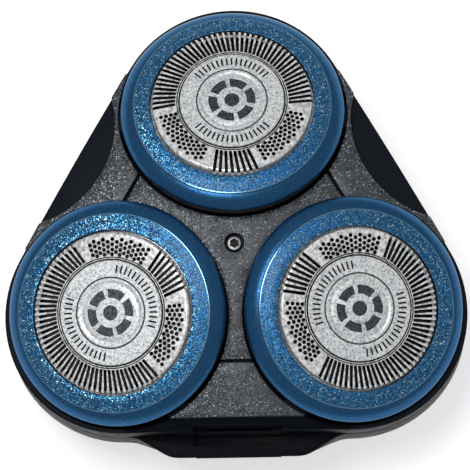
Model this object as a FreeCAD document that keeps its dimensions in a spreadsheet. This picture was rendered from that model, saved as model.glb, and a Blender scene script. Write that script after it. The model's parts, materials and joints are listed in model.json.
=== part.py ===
import FreeCAD, Part
import math
import os

import PartDesign
import Sketcher

# A rotary shaver head: three tilting ring heads on a hinged holder, over a base with a gear train.
# Millimetres, +Z up through the middle of the head, origin at the middle of the coupling's lower face.

Vector = FreeCAD.Vector
HEADS = {"rear": 90, "left": 210, "right": 330}
BETWEEN = 30
UP = Vector(0, 0, 1)

SIZES = {
    # the heads
    "ring_radius": 15.2,
    "ring_skirt": 2.4,
    "ring_foot_radius": 14.8,
    "ring_inner_radius": 14.2,
    "ring_crest_radius": 13.0,
    "ring_crest_rise": 1.1,
    "ring_mouth_rise": 1.65,
    "shelf_rise": 0.5,
    "shelf_radius": 13.6,
    "head_tilt": 16,
    "head_gap": 2.7,
    "groove_depth": 0.6,
    "groove_top": 0.35,
    "groove_width": 1.2,
    # the guards
    "guard_radius": 10.8,
    "guard_clearance": 0.3,
    "guard_rise": 2.1,
    "guard_wall": 0.35,
    "flange_radius": 13.0,
    "slot_width": 0.36,
    "slot_start": 7.6,
    "slot_lean": 7.5,
    "slot_count": 46,
    "slot_span": 186,
    "short_slot_count": 8,
    "short_slot_span": 31,
    "hole_radius": 0.23,
    "hole_pitch": 0.7,
    "hole_columns": 7,
    "hole_span": 50,
    "hole_margin": 0.91,
    "disc_radius": 7.2,
    "disc_rise": 0.4,
    "disc_step": 4.6,
    "disc_step_rise": 0.15,
    "disc_step_slope": 0.3,
    # the cutters
    "track_gap": 0.3,
    "blade_count": 15,
    "blade_thickness": 0.4,
    "blade_lean": 0.6,
    "blade_inset": 0.1,
    "rail_margin": 0.4,
    "track_inner": 7.7,
    "carrier_thickness": 0.5,
    "carrier_drop": 0.8,
    "carrier_margin": 0.2,
    "vent_reach": 5.6,
    "vent_radius": 1.5,
    "cutter_hub_radius": 3.0,
    "socket_radius": 2.05,
    "socket_lip": 1.1,
    "socket_roof": 1.7,
    # the retaining rings
    "retainer_radius": 13.9,
    "retainer_wall": 0.8,
    "retainer_depth": 4.2,
    "retainer_drop": 0.15,
    "retainer_plate": 1.4,
    "retainer_inner": 10.6,
    "arm_width": 2.0,
    "arm_thickness": 0.8,
    "collar_clearance": 0.3,
    "collar_wall": 1.0,
    "tab_height": 0.5,
    "tab_angle": 24,
    # the tilting pivots
    "pivot_depth": 4.0,
    "pivot_radius": 0.6,
    "pivot_clearance": 0.05,
    "lug_width": 3.0,
    "lug_thickness": 0.45,
    "pivot_side_gap": 0.3,
    "pivot_hold": 0.5,
    "ear_wall": 0.65,
    "ear_cover": 1.25,
    "ear_depth": 2.5,
    "ear_foot_drop": 0.6,
    "ear_foot_width": 1.4,
    "ear_clearance": 0.2,
    "bore_margin": 0.3,
    # the drive
    "drive_teeth": 42,
    "spindle_teeth": 28,
    "gear_width": 2.2,
    "gear_gap": 0.4,
    "mesh_gap": 0.06,
    "post_radius": 1.24,
    "post_head_gap": 0.2,
    "running_clearance": 0.06,
    "cup_radius": 3.0,
    "cup_bore": 2.1,
    "cup_rise": 3.4,
    "cup_floor": 0.8,
    "foot_length": 2.0,
    "neck_length": 4.2,
    "spindle_neck": 0.95,
    "dog_radius": 1.4,
    "dog_flats": 1.2,
    "foot_clearance": 0.05,
    "spring_radius": 1.5,
    "spring_wire": 0.3,
    "shaft_radius": 3.4,
    "shaft_drop": 2.0,
    "drive_socket": 1.9,
    "drive_socket_depth": 5.0,
    # the base
    "rim_radius": 16.0,
    "rim_inset": 0.8,
    "shell_wall": 1.5,
    "ledge_width": 0.8,
    "shell_foot_radius": 10.5,
    "shell_foot_reach": 17.0,
    "coupling_radius": 15.0,
    "coupling_bore": 11.5,
    "coupling_height": 8.5,
    "snap_groove": 0.5,
    "snap_groove_drop": 2.2,
    "snap_groove_slope": 0.2,
    "snap_groove_width": 1.2,
    "floor_thickness": 1.5,
    "plate_gap": 1.6,
    "plate_thickness": 1.4,
    "plate_clearance": 0.1,
    "chamber_wall": 2.6,
    "parting_gap": 0.3,
    "post_reach": 17.8,
    "boss_radius": 2.3,
    "screw_radius": 0.9,
    "screw_head_radius": 1.7,
    "screw_head_height": 1.0,
    "screw_slot_half": 0.25,
    "screw_slot_depth": 0.5,
    "thread_clearance": 0.05,
    "seal_width": 1.3,
    "seal_height": 0.8,
    "seal_clearance": 0.3,
    # the holder and its cover
    "dome_radius": 105,
    "dome_rise": 0.4,
    "panel_thickness": 1.2,
    "frame_thickness": 2.4,
    "opening_gap": 0.45,
    "seam_reach": 15.7,
    "seam_width": 0.5,
    "side_edge_reach": 20.7,
    "side_edge_radius": 14,
    "front_edge_reach": 23.2,
    "panel_half_width": 14.0,
    "centre_hole_radius": 1.35,
    "centre_screw_radius": 1.0,
    "centre_shank_radius": 0.6,
    "centre_boss_radius": 2.0,
    "centre_boss_depth": 1.6,
    "centre_boss_height": 3.0,
    "centre_shank_start": 0.6,
    "centre_screw_depth": 0.5,
    "centre_socket_radius": 0.7,
    # the hinge and the release button
    "hinge_inset": 0.8,
    "hinge_drop": 1.2,
    "knuckle_radius": 1.0,
    "hinge_pin_radius": 0.5,
    "hinge_width": 4.0,
    "knuckle_gap": 0.3,
    "knuckle_width": 2.5,
    "web_reach": 1.0,
    "web_rise": 0.9,
    "bulge_depth": 3.0,
    "bulge_top_width": 18.4,
    "bulge_base_width": 28.0,
    "bulge_height": 6.4,
    "bulge_round": 4.0,
    "bulge_root": 3.0,
    "bulge_root_width": 2.0,
    "thumb_lip": 1.6,
    "thumb_depth": 1.2,
    "front_notch": 0.8,
    "catch_inset": 2.0,
    "catch_gap": 0.3,
    "catch_reach": 0.6,
    "catch_drop": 2.0,
    "catch_rise": 1.0,
    "button_width": 12.0,
    "button_height": 3.2,
    "button_depth": 1.6,
    "button_proud": 0.3,
    "button_clearance": 0.3,
    "button_drop": 2.0,
    "button_travel": 1.0,
    "button_spring_radius": 0.9,
}

doc = FreeCAD.newDocument("RotaryShaverHead")
sheet = doc.addObject("Spreadsheet::Sheet", "Sizes")
for row, (name, number) in enumerate(SIZES.items(), 1):
    sheet.set(f"A{row}", name)
    sheet.set(f"B{row}", str(number))
    sheet.setAlias(f"B{row}", name)
doc.recompute()


class Size:
    """A number together with the sheet expression that makes it."""

    def __init__(self, value, text):
        self.value = float(value)
        self.text = text

    def _join(self, other, sign, value):
        return Size(value, f"({self.text} {sign} {size(other).text})")

    def __add__(self, other):
        return self._join(other, "+", self.value + size(other).value)

    def __sub__(self, other):
        return self._join(other, "-", self.value - size(other).value)

    def __mul__(self, other):
        return self._join(other, "*", self.value * size(other).value)

    def __truediv__(self, other):
        return self._join(other, "/", self.value / size(other).value)

    def __neg__(self):
        return Size(-self.value, f"(0 - {self.text})")


def size(thing):
    if isinstance(thing, Size):
        return thing
    if isinstance(thing, str):
        return Size(sheet.get(thing), f"Sizes.{thing}")
    return Size(thing, repr(float(thing)))


def sine(angle):
    angle = size(angle)
    return Size(math.sin(math.radians(angle.value)), f"sin({angle.text})")


def cosine(angle):
    angle = size(angle)
    return Size(math.cos(math.radians(angle.value)), f"cos({angle.text})")


def root(number):
    return Size(math.sqrt(number.value), f"sqrt({number.text})")


class Sheet:
    """The driving sizes, each under its own name."""

    def __getattr__(self, name):
        return size(name)


d = Sheet()

# Shapes that are fused run into each other by bite, and a cutting shape runs past the face it opens.
bite = size(0.2)
past = size(1)
tall = size(60)

# Heights of the stack, from the coupling's lower face upwards.
floor_top = d.coupling_height + d.floor_thickness
gear_foot = floor_top + d.gear_gap
gear_top = gear_foot + d.gear_width
ledge = gear_top + d.plate_gap
plate_top = ledge + d.plate_thickness
base_top = plate_top + d.chamber_wall
holder_foot = base_top + d.parting_gap
cup_top = plate_top + d.cup_rise
dog_height = cup_top + d.neck_length
ring_height = dog_height + d.pivot_depth * cosine("head_tilt")
dome_top = ring_height + d.dome_rise
frame_radius = d.dome_radius - d.panel_thickness

# Places in plan. Neighbouring rings lie head_gap apart where they are closest.
narrow = root(cosine("head_tilt") * cosine("head_tilt") * 0.75 + 0.25) * d.ring_radius
head_reach = (narrow * 2 + d.head_gap) / (cosine(30) * 2)
spindle_reach = head_reach - d.pivot_depth * sine("head_tilt")
rim_reach = head_reach - d.rim_inset
tooth_module = spindle_reach * 2 / (d.drive_teeth + d.spindle_teeth)
opening_radius = d.ring_radius + d.opening_gap
hull_side = rim_reach * 0.5 + d.rim_radius
hull_end = rim_reach + d.rim_radius
bulge_front = hull_side + d.bulge_depth


def bind(thing, **sizes):
    """Tie properties of an object to sheet sizes. A double underscore stands for a dot."""
    for name, number in sizes.items():
        thing.setExpression(name.replace("__", "."), size(number).text)
    return thing


def place(thing, x=0, y=0, z=0):
    return bind(thing, Placement__Base__x=x, Placement__Base__y=y, Placement__Base__z=z)


def add(kind, label):
    thing = doc.addObject(kind, label)
    thing.Label = label
    return thing


def origin(body, role):
    return next(item for item in body.Origin.OriginFeatures if item.Role == role)


def outline(body, name, plane, points, rounds=None, height=0):
    """A closed sketch through the given points, with the corners in rounds rounded."""
    rounds = {index: size(radius) for index, radius in (rounds or {}).items()}
    sketch = body.newObject("Sketcher::SketchObject", name)
    sketch.AttachmentSupport = [(origin(body, plane), "")]
    sketch.MapMode = "FlatFace"
    bind(sketch, AttachmentOffset__Base__z=height)
    points = [(size(x), size(y)) for x, y in points]
    corners = [Vector(x.value, y.value, 0) for x, y in points]
    count = len(corners)
    cuts = []
    for index, corner in enumerate(corners):
        before = (corners[index - 1] - corner).normalize()
        after = (corners[(index + 1) % count] - corner).normalize()
        reach = 0
        if index in rounds:
            reach = rounds[index].value / math.tan(before.getAngle(after) / 2)
        cuts.append((corner + before * reach, corner + after * reach))
    sides = []
    for index in range(count):
        line = Part.LineSegment(cuts[index][1], cuts[(index + 1) % count][0])
        sides.append(sketch.addGeometry(line, False))
    for index, corner in enumerate(corners):
        before, after = sides[index - 1], sides[index]
        if index not in rounds:
            sketch.addConstraint(Sketcher.Constraint("Coincident", before, 2, after, 1))
            marked = after
        else:
            start, end = cuts[index]
            inward = ((start + end) * 0.5 - corner).normalize()
            radius = rounds[index].value
            centre = corner + inward * math.hypot(radius, (start - corner).Length)
            arc = sketch.addGeometry(Part.Arc(start, centre - inward * radius, end), False)
            first = 1 if (sketch.Geometry[arc].StartPoint - start).Length < 1e-6 else 2
            sketch.addConstraint(Sketcher.Constraint("Tangent", before, 2, arc, first))
            sketch.addConstraint(Sketcher.Constraint("Tangent", after, 1, arc, 3 - first))
            number = sketch.addConstraint(Sketcher.Constraint("Radius", arc, radius))
            sketch.setExpression(f"Constraints[{number}]", rounds[index].text)
            marked = sketch.addGeometry(Part.Point(corner), True)
            sketch.addConstraint(Sketcher.Constraint("PointOnObject", marked, 1, before))
            sketch.addConstraint(Sketcher.Constraint("PointOnObject", marked, 1, after))
        for kind, number in zip(("DistanceX", "DistanceY"), points[index]):
            held = Sketcher.Constraint(kind, -1, 1, marked, 1, number.value)
            sketch.setExpression(f"Constraints[{sketch.addConstraint(held)}]", number.text)
    return sketch


def circles(body, name, discs, height=0):
    """A sketch of circles, each given by its centre and radius."""
    sketch = body.newObject("Sketcher::SketchObject", name)
    sketch.AttachmentSupport = [(origin(body, "XY_Plane"), "")]
    sketch.MapMode = "FlatFace"
    bind(sketch, AttachmentOffset__Base__z=height)
    for x, y, radius in discs:
        x, y, radius = size(x), size(y), size(radius)
        disc = Part.Circle(Vector(x.value, y.value, 0), UP, radius.value)
        index = sketch.addGeometry(disc, False)
        held = [
            (Sketcher.Constraint("DistanceX", -1, 1, index, 3, x.value), x),
            (Sketcher.Constraint("DistanceY", -1, 1, index, 3, y.value), y),
            (Sketcher.Constraint("Radius", index, radius.value), radius),
        ]
        for constraint, number in held:
            sketch.setExpression(f"Constraints[{sketch.addConstraint(constraint)}]", number.text)
    return sketch


def pad(body, sketch, length):
    feature = body.newObject("PartDesign::Pad", sketch.Name + "Pad")
    feature.Profile = sketch
    return bind(feature, Length=length)


def pocket(body, sketch, length):
    """A cut from the sketch upwards."""
    feature = body.newObject("PartDesign::Pocket", sketch.Name + "Cut")
    feature.Profile = sketch
    feature.Reversed = True
    return bind(feature, Length=length)


def loft(body, kind, first, last):
    feature = body.newObject(f"PartDesign::{kind}", first.Name + "Loft")
    feature.Profile = first
    feature.Sections = [last]
    feature.Ruled = True
    return feature


def around(body, feature, count, span=360):
    """Repeat a feature about the body's Z axis."""
    feature_list = feature if isinstance(feature, list) else [feature]
    pattern = body.newObject("PartDesign::PolarPattern", feature_list[0].Name + "Ring")
    pattern.Originals = feature_list
    pattern.Axis = (origin(body, "Z_Axis"), [""])
    bind(pattern, Occurrences=count, Angle=span)
    body.Tip = pattern
    return pattern


def turned(label, points, rounds=None):
    """A body turned about its Z axis from a half section."""
    body = add("PartDesign::Body", label)
    section = outline(body, label + "_section", "XZ_Plane", points, rounds)
    feature = body.newObject("PartDesign::Revolution", label + "_turn")
    feature.Profile = section
    feature.ReferenceAxis = (origin(body, "Z_Axis"), [""])
    feature.Angle = 360
    return body


def prism(label, points, foot, height, rounds=None):
    body = add("PartDesign::Body", label)
    pad(body, outline(body, label + "_plan", "XY_Plane", points, rounds, foot), height)
    return body


def box(label, low, high):
    """A box between two corners."""
    thing = add("Part::Box", label)
    low = [size(number) for number in low]
    high = [size(number) for number in high]
    bind(thing, Length=high[0] - low[0], Width=high[1] - low[1], Height=high[2] - low[2])
    return place(thing, *low)


def cylinder(label, radius, foot, height, x=0, y=0):
    thing = add("Part::Cylinder", label)
    bind(thing, Radius=radius, Height=height)
    return place(thing, x, y, foot)


def sphere(label, radius, z):
    thing = add("Part::Sphere", label)
    bind(thing, Radius=radius)
    return place(thing, 0, 0, z)


def hexagon(label, flats, foot, height):
    """A six-sided bar, flats being the distance from its middle to a side."""
    thing = add("Part::Prism", label)
    thing.Polygon = 6
    bind(thing, Circumradius=size(flats) / cosine(30), Height=height)
    return place(thing, 0, 0, foot)


def cut(label, base, tool):
    thing = add("Part::Cut", label)
    thing.Base = base
    thing.Tool = tool
    return thing


def fuse(label, *shapes):
    thing = add("Part::MultiFuse", label)
    thing.Shapes = list(shapes)
    return thing


def common(label, *shapes):
    thing = add("Part::MultiCommon", label)
    thing.Shapes = list(shapes)
    return thing


def spot(angle, reach, across=0):
    """The point at a distance out along a direction, and a distance across it."""
    reach, across = size(reach), size(across)
    x = reach * cosine(angle) - across * sine(angle)
    y = reach * sine(angle) + across * cosine(angle)
    return x, y


def rounded_triangle(reach, radius):
    """Corners of the triangle whose rounded corners have their centres at the given reach."""
    return [spot(angle, size(reach) + size(radius) * 2) for angle in HEADS.values()]


pieces = {}


def piece(label, thing):
    """Enter a finished object as a sub-part under its own label."""
    thing.Label = label
    pieces[label] = thing
    return thing


def placed_copy(label, source, placement):
    copy = add("App::Link", label)
    copy.LinkedObject = source
    copy.setExpression("Placement", placement)
    return piece(label, copy)


def turn_text(angle):
    return f"create(<<rotation>>; create(<<vector>>; 0; 0; 1); {angle})"


def tilted_text(angle):
    """Where a head sits: out along its direction, with its axis leaning outwards."""
    x, y = spot(angle, head_reach)
    base = f"create(<<vector>>; {x.text}; {y.text}; {ring_height.text})"
    lean = f"create(<<rotation>>; create(<<vector>>; 0; 1; 0); {d.head_tilt.text})"
    return f"create(<<placement>>; {base}; {turn_text(angle)} * {lean})"


def upright_text(angle, turn=None):
    """Where a drive spindle stands."""
    x, y = spot(angle, spindle_reach)
    base = f"create(<<vector>>; {x.text}; {y.text}; 0)"
    return f"create(<<placement>>; {base}; {turn_text(turn or angle)})"


def meshed_text(angle):
    """A spindle's place, turned so that its gear's teeth meet the gaps of the drive gear."""
    turn = size(angle) + 180 - size(180) / d.spindle_teeth + size(angle) * d.drive_teeth / d.spindle_teeth
    return upright_text(angle, turn.text)


def on_each_head(label, source, where=tilted_text):
    for name, angle in HEADS.items():
        placed_copy(f"{label}_{name}", source, where(angle))


# Each head is drawn about its own axis, with z = 0 at the ring's outer edge and +X outwards.
def make_skin_ring():
    groove_floor = d.ring_inner_radius + d.groove_depth
    mouth = d.guard_radius + d.guard_clearance
    section = [
        (mouth, d.ring_mouth_rise),
        (mouth, d.shelf_rise),
        (d.shelf_radius, d.shelf_rise),
        (d.ring_inner_radius, 0),
        (d.ring_inner_radius, -d.groove_top),
        (groove_floor, -d.groove_top),
        (groove_floor, -(d.groove_top + d.groove_width)),
        (d.ring_inner_radius, -(d.groove_top + d.groove_width)),
        (d.ring_inner_radius, -d.ring_skirt),
        (d.ring_foot_radius, -d.ring_skirt),
        (d.ring_radius, -d.groove_top),
        (d.ring_radius, d.ring_crest_rise),
        (d.ring_crest_radius, d.ring_crest_rise),
    ]
    ring = turned("ring_body", section, {11: d.ring_crest_rise * 0.9})
    lug_inner = d.retainer_radius + d.collar_clearance * 0.5
    lug_outer = d.ring_inner_radius + d.lug_thickness
    half = d.lug_width / 2
    lug_foot = -(d.pivot_depth + d.pivot_radius)
    lug = box("lug", (-half, lug_inner, lug_foot), (half, lug_outer, bite - d.ring_skirt))
    pin_length = bite + d.pivot_side_gap + d.pivot_hold
    pin = cylinder("pivot_pin", d.pivot_radius, 0, pin_length)
    pin.Placement = FreeCAD.Placement(Vector(), FreeCAD.Rotation(Vector(1, 0, 0), -90))
    place(pin, 0, lug_outer - bite, -d.pivot_depth)
    side = fuse("lug_and_pin", lug, pin)
    other = add("Part::Mirroring", "other_lug")
    other.Source = side
    other.Normal = Vector(0, 1, 0)
    whole = fuse("skin_ring", ring, side, other)
    on_each_head("skin_ring", whole)


def make_guard():
    top, wall = d.guard_rise, d.guard_wall
    inner = d.guard_radius - wall
    under = top - wall
    section = [
        (0, top),
        (0, under),
        (inner, under),
        (inner, d.shelf_rise - wall),
        (d.flange_radius, d.shelf_rise - wall),
        (d.flange_radius, d.shelf_rise),
        (d.guard_radius, d.shelf_rise),
        (d.guard_radius, top),
    ]
    guard = turned("guard", section, {7: wall * 0.9})
    slot_foot = under - wall
    depth = wall * 3
    far = d.guard_radius + wall

    def slot(name, angle):
        """One slanting slot, open through the cap's rounded edge."""
        half = d.slot_width / 2
        drift = (far - d.slot_start) * (sine("slot_lean") / cosine("slot_lean"))
        plan = [(d.slot_start, -half), (far, drift - half), (far, drift + half), (d.slot_start, half)]
        corners = []
        for reach, across in plan:
            corners.append(spot(angle, reach, across))
        return pocket(guard, outline(guard, name, "XY_Plane", corners, None, slot_foot), depth)

    around(guard, slot("slot", -(d.slot_span / 2)), d.slot_count, d.slot_span)
    around(guard, slot("short_slot", 180 - SIZES["short_slot_span"] / 2), d.short_slot_count,
           d.short_slot_span)

    def perforation(name, middle):
        """Staggered rows of small holes between two runs of slots."""
        columns = []
        step = d.hole_span / (d.hole_columns * 2 - 1)
        start = size(middle) - d.hole_span / 2
        first_row = d.guard_radius - d.hole_margin
        for number in range(3):
            reach = first_row - d.hole_pitch * number
            columns.append((*spot(start, reach), d.hole_radius))
        for number in range(2):
            reach = first_row - d.hole_pitch * (number + 0.5)
            columns.append((*spot(start + step, reach), d.hole_radius))
        holes = pocket(guard, circles(guard, name, columns, slot_foot), depth)
        around(guard, holes, d.hole_columns, d.hole_span * (d.hole_columns - 1) * 2
               / (d.hole_columns * 2 - 1))

    middle = (SIZES["slot_span"] / 2 + 180 - SIZES["short_slot_span"] / 2) / 2
    perforation("holes", middle)
    perforation("other_holes", -middle)
    on_each_head("guard", guard)
    rise = top + d.disc_rise
    disc = turned("disc", [
        (0, top),
        (d.disc_radius, top),
        (d.disc_radius, rise - d.disc_step_rise),
        (d.disc_step, rise - d.disc_step_rise),
        (d.disc_step - d.disc_step_slope, rise),
        (0, rise),
    ])
    on_each_head("guard_centre", disc)


def make_cutter():
    carrier_top = -d.carrier_drop + d.carrier_thickness
    blade_top = d.guard_rise - d.guard_wall - d.track_gap
    track_outer = d.guard_radius - d.guard_wall - d.track_gap
    rail_inner = d.track_inner - d.rail_margin
    rail_top = carrier_top + d.blade_thickness
    blades = turned("blade_ring", [
        (rail_inner, carrier_top),
        (track_outer, carrier_top),
        (track_outer, rail_top),
        (rail_inner, rail_top),
    ])
    half = d.blade_thickness / 2
    blade_end = track_outer - d.blade_inset
    plan = [
        (d.track_inner, -half),
        (blade_end, d.blade_lean - half),
        (blade_end, d.blade_lean + half),
        (d.track_inner, half),
    ]
    blade_foot = rail_top - bite
    blade = pad(blades, outline(blades, "blade", "XY_Plane", plan, None, blade_foot), blade_top - blade_foot)
    around(blades, blade, d.blade_count)
    on_each_head("cutter_blades", blades)
    mouth = -(d.pivot_depth + d.socket_lip)
    hub = turned("hub_body", [
        (0, carrier_top),
        (0, mouth),
        (d.cutter_hub_radius, mouth),
        (d.cutter_hub_radius, -d.carrier_drop),
        (track_outer - d.carrier_margin, -d.carrier_drop),
        (track_outer - d.carrier_margin, carrier_top),
    ])
    socket = hexagon("hub_socket", "socket_radius", mouth - past, past + d.socket_lip + d.socket_roof)
    vent = circles(hub, "vents", [(d.vent_reach, 0, d.vent_radius)], -d.carrier_drop)
    vents = pocket(hub, vent, d.carrier_thickness)
    around(hub, vents, 6, 300)
    on_each_head("cutter_hub", cut("cutter_hub", hub, socket))


def make_retaining_ring():
    top = -d.retainer_drop
    plate_foot = top - d.retainer_plate
    ring = turned("retainer_body", [
        (d.retainer_inner, top),
        (d.retainer_inner, plate_foot),
        (d.retainer_radius - d.retainer_wall, plate_foot),
        (d.retainer_radius - d.retainer_wall, -d.retainer_depth),
        (d.retainer_radius, -d.retainer_depth),
        (d.retainer_radius, top),
    ])
    collar_inner = d.cutter_hub_radius + d.collar_clearance
    collar_outer = collar_inner + d.collar_wall
    arm_foot = -(d.carrier_drop + d.collar_clearance + d.arm_thickness)
    half = d.arm_width / 2
    arm = box("arm", (collar_outer - bite, -half, arm_foot),
              (d.retainer_inner + bite * 2, half, arm_foot + d.arm_thickness))
    arms = [arm]
    for angle in (120, 240):
        copy = add("App::Link", f"arm_{angle}")
        copy.LinkedObject = arm
        copy.LinkTransform = True
        copy.Placement = FreeCAD.Placement(Vector(), FreeCAD.Rotation(UP, angle))
        arms.append(copy)
    collar = cut("collar", cylinder("collar_outside", collar_outer, arm_foot, d.arm_thickness),
                 cylinder("collar_inside", collar_inner, arm_foot - past, d.arm_thickness + past * 2))
    tab_foot = -(d.groove_top + (d.groove_width + d.tab_height) / 2)
    tab_reach = d.ring_inner_radius + d.groove_depth / 2
    tabs = []
    for angle in (60, 180, 300):
        tab = add("Part::Cylinder", f"tab_{angle}")
        bind(tab, Radius=tab_reach, Height=d.tab_height, Angle=d.tab_angle)
        tab.Placement = FreeCAD.Placement(Vector(), FreeCAD.Rotation(UP, angle - SIZES["tab_angle"] / 2))
        place(tab, 0, 0, tab_foot)
        bore = cylinder(f"tab_bore_{angle}", d.retainer_radius - d.retainer_wall / 2, tab_foot - past,
                        d.tab_height + past * 2)
        tabs.append(cut(f"tab_trimmed_{angle}", tab, bore))
    on_each_head("retaining_ring", fuse("retaining_ring", ring, collar, *arms, *tabs))


# A tooth's parts as shares of the module: its depth below the pitch circle, its height above it,
# how much each flank has come in at the tip and gone out at the root, and how deep it is rooted.
TOOTH_ROOT = 1.2
TOOTH_TIP = 0.95
FLANK_IN = 0.36
FLANK_OUT = 0.5
TOOTH_BITE = 0.3


def make_gear(label, teeth, hub_radius, hub_top, hub_foot=None):
    """A spur gear with straight-sided teeth, a hub above it and, down to hub_foot, a shaft below."""
    radius = tooth_module * teeth / 2
    root_radius = radius - tooth_module * TOOTH_ROOT
    tip_radius = radius + tooth_module * TOOTH_TIP
    quarter = tooth_module * (math.pi / 4) - d.mesh_gap / 2
    shaft = [(0, gear_foot)]
    if hub_foot:
        shaft = [(0, hub_foot), (hub_radius, hub_foot), (hub_radius, gear_foot)]
    gear = turned(label, [
        (0, hub_top),
        *shaft,
        (root_radius, gear_foot),
        (root_radius, gear_top),
        (hub_radius, gear_top),
        (hub_radius, hub_top),
    ])
    base_reach = root_radius - tooth_module * TOOTH_BITE
    base_half = quarter + tooth_module * FLANK_OUT
    tip_half = quarter - tooth_module * FLANK_IN
    plan = [
        (base_reach, -base_half),
        (tip_radius, -tip_half),
        (tip_radius, tip_half),
        (base_reach, base_half),
    ]
    tooth = pad(gear, outline(gear, label + "_tooth", "XY_Plane", plan, None, gear_foot), d.gear_width)
    around(gear, tooth, teeth)
    return gear


def make_drive():
    shaft_foot = d.shaft_drop
    gear = make_gear("drive_gear_body", d.drive_teeth, d.shaft_radius, ledge - d.gear_gap, shaft_foot)
    socket = hexagon("drive_socket", "drive_socket", shaft_foot - past, d.drive_socket_depth + past)
    piece("drive_gear", cut("drive_gear", gear, socket))

    spindle_gear = make_gear("spindle_gear_body", d.spindle_teeth, d.cup_radius, cup_top)
    post_top = gear_top + d.gear_gap
    bore_top = post_top + d.post_head_gap
    cup_foot = bore_top + d.cup_floor
    bore_foot = gear_foot - past
    bore = cylinder("post_bore", d.post_radius + d.running_clearance, bore_foot, bore_top - bore_foot)
    cup = hexagon("cup_bore", "cup_bore", cup_foot, cup_top - cup_foot + past)
    hollow = cut("spindle_gear", spindle_gear, fuse("gear_hollows", bore, cup))
    for name, angle in HEADS.items():
        placed_copy(f"spindle_gear_{name}", hollow, meshed_text(angle))

    foot_foot = cup_top - d.gear_gap - d.foot_length
    foot = hexagon("foot", d.cup_bore - d.foot_clearance, foot_foot, d.foot_length)
    neck_foot = foot_foot + bite
    neck = cylinder("spindle_neck", "spindle_neck", neck_foot, dog_height - neck_foot)
    ball = common("dog", sphere("dog_ball", "dog_radius", dog_height),
                  hexagon("dog_flats", "dog_flats", dog_height - d.dog_radius, d.dog_radius * 2))
    spindle = fuse("drive_spindle", foot, neck, ball)
    spring = cut("spindle_spring",
                 cylinder("spring_outside", d.spring_radius, cup_foot, foot_foot - cup_foot),
                 cylinder("spring_inside", d.spring_radius - d.spring_wire, cup_foot - past, tall))
    for name, angle in HEADS.items():
        placed_copy(f"drive_spindle_{name}", spindle, meshed_text(angle))
        placed_copy(f"spindle_spring_{name}", spring, meshed_text(angle))
    seal_inner = d.cup_radius + d.seal_clearance
    seal = cut("spindle_seal",
               cylinder("seal_outside", seal_inner + d.seal_width, plate_top, "seal_height"),
               cylinder("seal_inside", seal_inner, plate_top - past, tall))
    on_each_head("spindle_seal", seal, upright_text)


hinge_y = hull_end - d.hinge_inset
hinge_z = base_top - d.hinge_drop
hinge_half = d.hinge_width / 2
hinge_span = hinge_half + d.knuckle_gap + d.knuckle_width


def bar(label, radius, low, high):
    """A round bar along X on the hinge's axis."""
    low, high = size(low), size(high)
    thing = add("Part::Cylinder", label)
    bind(thing, Radius=radius, Height=high - low)
    thing.Placement = FreeCAD.Placement(Vector(), FreeCAD.Rotation(Vector(0, 1, 0), 90))
    return place(thing, low, hinge_y, hinge_z)


def button_block(label, grow, front, back):
    """The release button's block, or the larger pocket that holds it."""
    grow = size(grow)
    half = d.button_width / 2 + grow
    top = base_top - d.button_drop + grow
    foot = base_top - d.button_drop - d.button_height - grow
    return box(label, (-half, -size(front), foot), (half, -size(back), top))


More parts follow.
